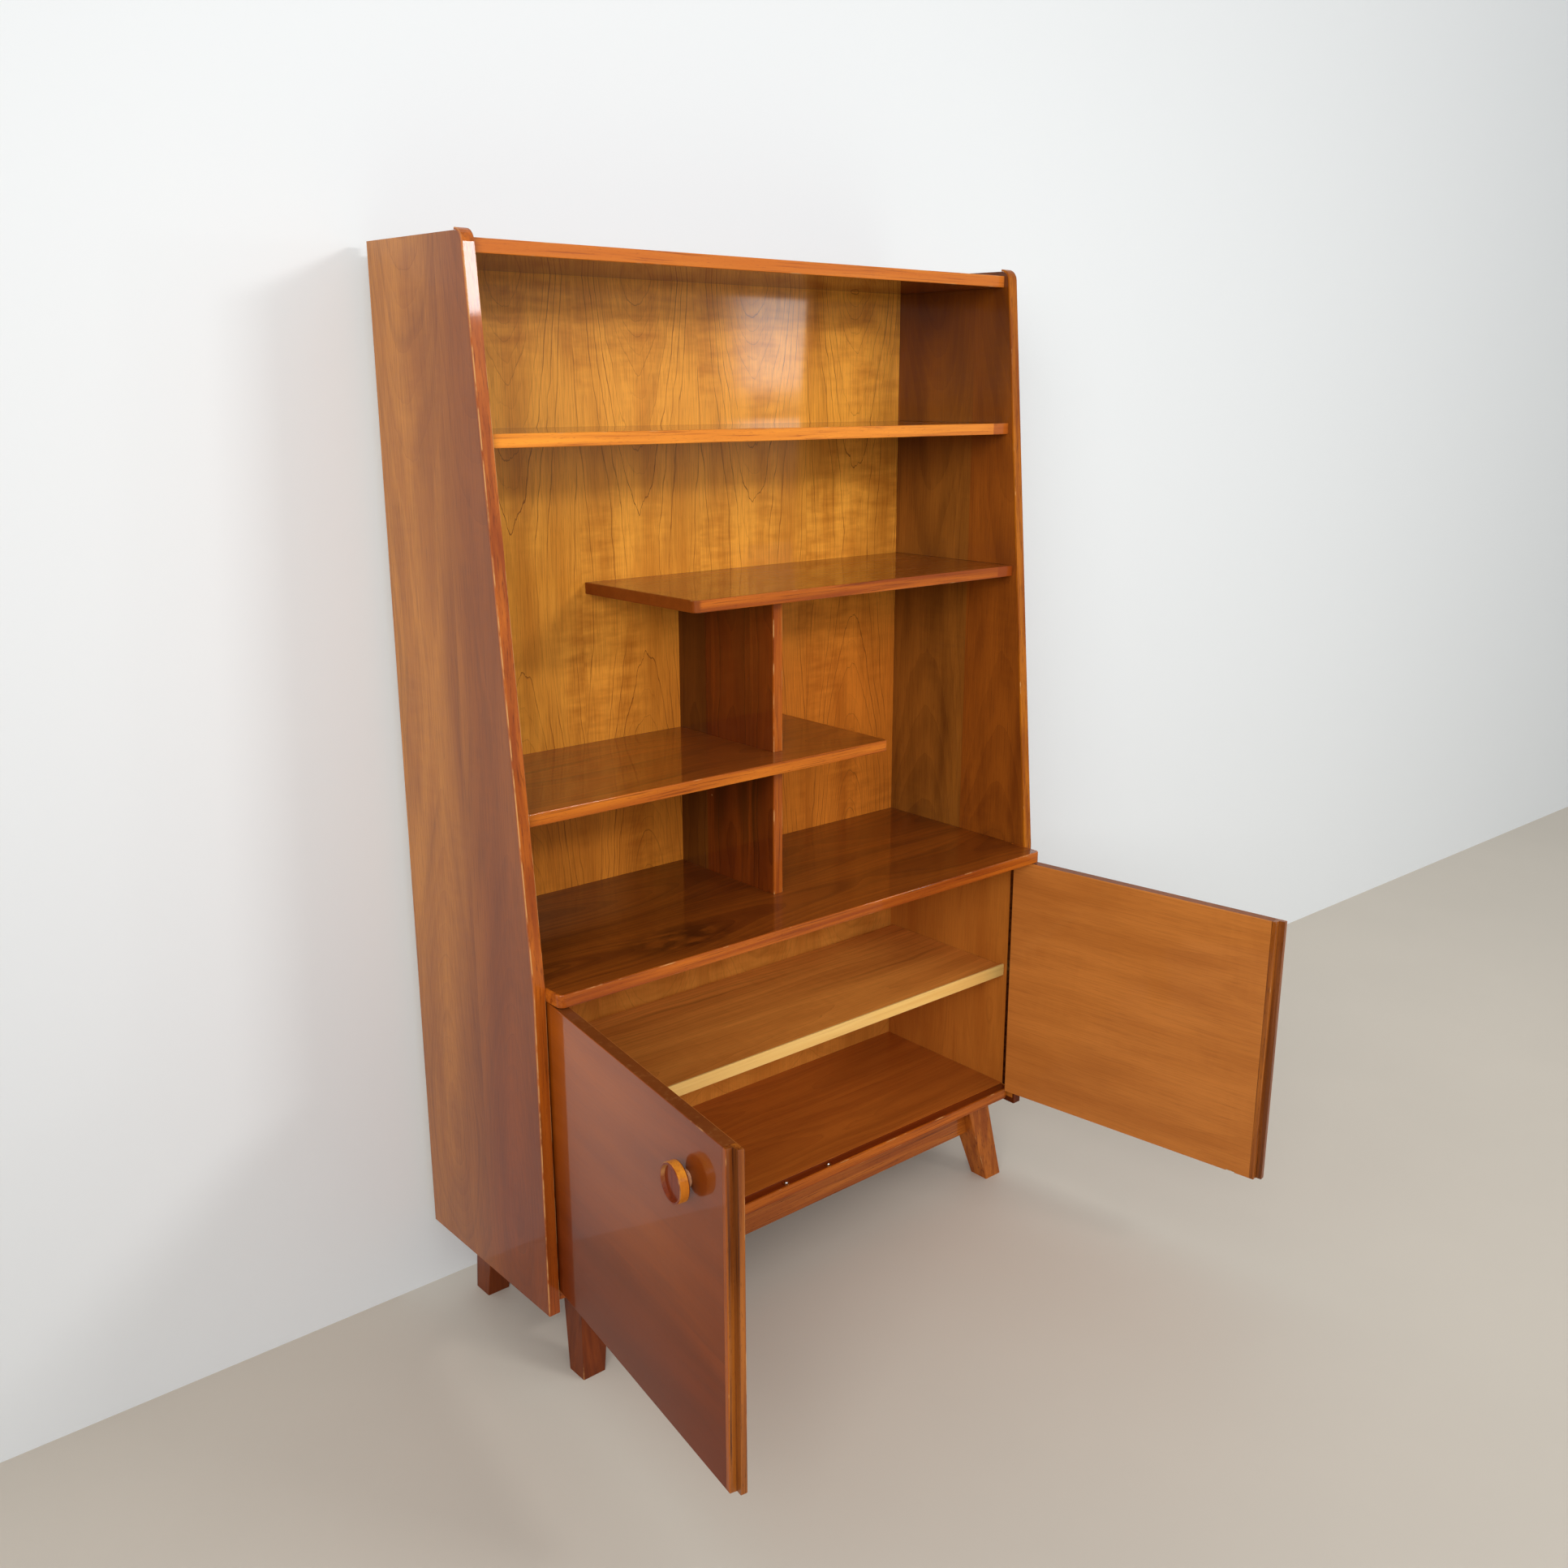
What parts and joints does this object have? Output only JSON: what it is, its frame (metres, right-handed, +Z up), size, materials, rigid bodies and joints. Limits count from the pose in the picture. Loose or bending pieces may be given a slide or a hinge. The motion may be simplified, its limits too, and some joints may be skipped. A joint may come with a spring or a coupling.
{
  "type": "highboard",
  "caption": "Tall case with leaning sides: staggered open shelves over a projecting worktop, a cupboard with lapped hinged doors and turned knobs below, on splayed tapered legs.",
  "frame": {"origin": "middle of the bounding box on the floor, with both doors standing open as at rest", "axes": "+X to the right seen from the front, +Y from the front to the back, +Z up"},
  "size_m": [1.2078, 0.8738, 1.695],
  "materials": {
    "side_veneer": "glossy lacquered red-brown veneer, upright grain",
    "lipping": "lacquered orange-brown solid lipping with worn arrises",
    "shelf_veneer": "glossy lacquered brown veneer, grain along the board",
    "back_veneer": "lacquered golden veneer with upright arched grain",
    "cupboard_veneer": "satin light brown veneer",
    "pale_lipping": "satin pale yellow solid lipping",
    "door_veneer": "glossy lacquered red-brown veneer, orange-brown inside",
    "door_edge": "lacquered solid edge with a half lap",
    "base_wood": "lacquered orange-brown solid wood",
    "knob_wood": "polished turned wood, amber rim and red-brown sunk face",
    "pin_wood": "plain turned wood",
    "hinge_metal": "dark aged brass",
    "catch_brass": "drawn brass",
    "steel": "polished steel"
  },
  "bodies": {
    "case": {"bottom_board": "shelf_veneer", "bottom_board_lipping": "lipping", "cupboard_shelf": "cupboard_veneer", "cupboard_shelf_lipping": "pale_lipping", "front_apron": "base_wood", "front_left_leg": "base_wood", "front_left_shelf_pin": "pin_wood", "front_right_leg": "base_wood", "front_right_shelf_pin": "pin_wood", "left_catch_case": "catch_brass", "left_catch_spring": "steel", "left_frame_leaf": "hinge_metal", "left_half_shelf": "shelf_veneer", "left_half_shelf_lipping": "lipping", "left_hinge_pin": "catch_brass", "left_rail": "base_wood", "left_side": "side_veneer", "left_side_lipping": "lipping", "lower_back": "cupboard_veneer", "lower_divider": "shelf_veneer", "lower_divider_lipping": "lipping", "rear_apron": "base_wood", "rear_left_leg": "base_wood", "rear_left_shelf_pin": "pin_wood", "rear_right_leg": "base_wood", "rear_right_shelf_pin": "pin_wood", "right_catch_case": "catch_brass", "right_catch_spring": "steel", "right_frame_leaf": "hinge_metal", "right_half_shelf": "shelf_veneer", "right_half_shelf_lipping": "lipping", "right_hinge_pin": "catch_brass", "right_rail": "base_wood", "right_side": "side_veneer", "right_side_lipping": "lipping", "top_board": "shelf_veneer", "top_board_lipping": "lipping", "upper_back": "back_veneer", "upper_divider": "shelf_veneer", "upper_divider_lipping": "lipping", "upper_shelf": "shelf_veneer", "upper_shelf_lipping": "lipping", "worktop": "shelf_veneer", "worktop_lipping": "lipping"},
    "left_door": {"left_door": "door_veneer", "left_door_edge": "door_edge", "left_door_leaf": "hinge_metal", "left_knob": "knob_wood", "left_knob_stem": "knob_wood", "left_strike_plate": "catch_brass"},
    "left_ball": {"left_catch_ball": "steel"},
    "right_door": {"right_door": "door_veneer", "right_door_edge": "door_edge", "right_door_leaf": "hinge_metal", "right_knob": "knob_wood", "right_knob_stem": "knob_wood", "right_strike_plate": "catch_brass"},
    "right_ball": {"right_catch_ball": "steel"}
  },
  "joints": [
    {"name": "left_door_hinge", "type": "hinge", "parent": "case", "child": "left_door", "pos_m": [-0.519, 0.08498, 0.407], "axis": [0, 0, 1], "range_deg": [-10, 98]},
    {"name": "left_catch_press", "type": "slide", "parent": "case", "child": "left_ball", "axis": [0, 0, 1], "range_m": [-0.002, 0], "stiffness_N_per_m": 400, "springref_m": 0.001, "deforming": ["left_catch_spring"]},
    {"name": "right_door_hinge", "type": "hinge", "parent": "case", "child": "right_door", "pos_m": [0.519, 0.08498, 0.407], "axis": [0, 0, -1], "range_deg": [-10, 98]},
    {"name": "right_catch_press", "type": "slide", "parent": "case", "child": "right_ball", "axis": [0, 0, 1], "range_m": [-0.002, 0], "stiffness_N_per_m": 400, "springref_m": 0.001, "deforming": ["right_catch_spring"]}
  ]
}
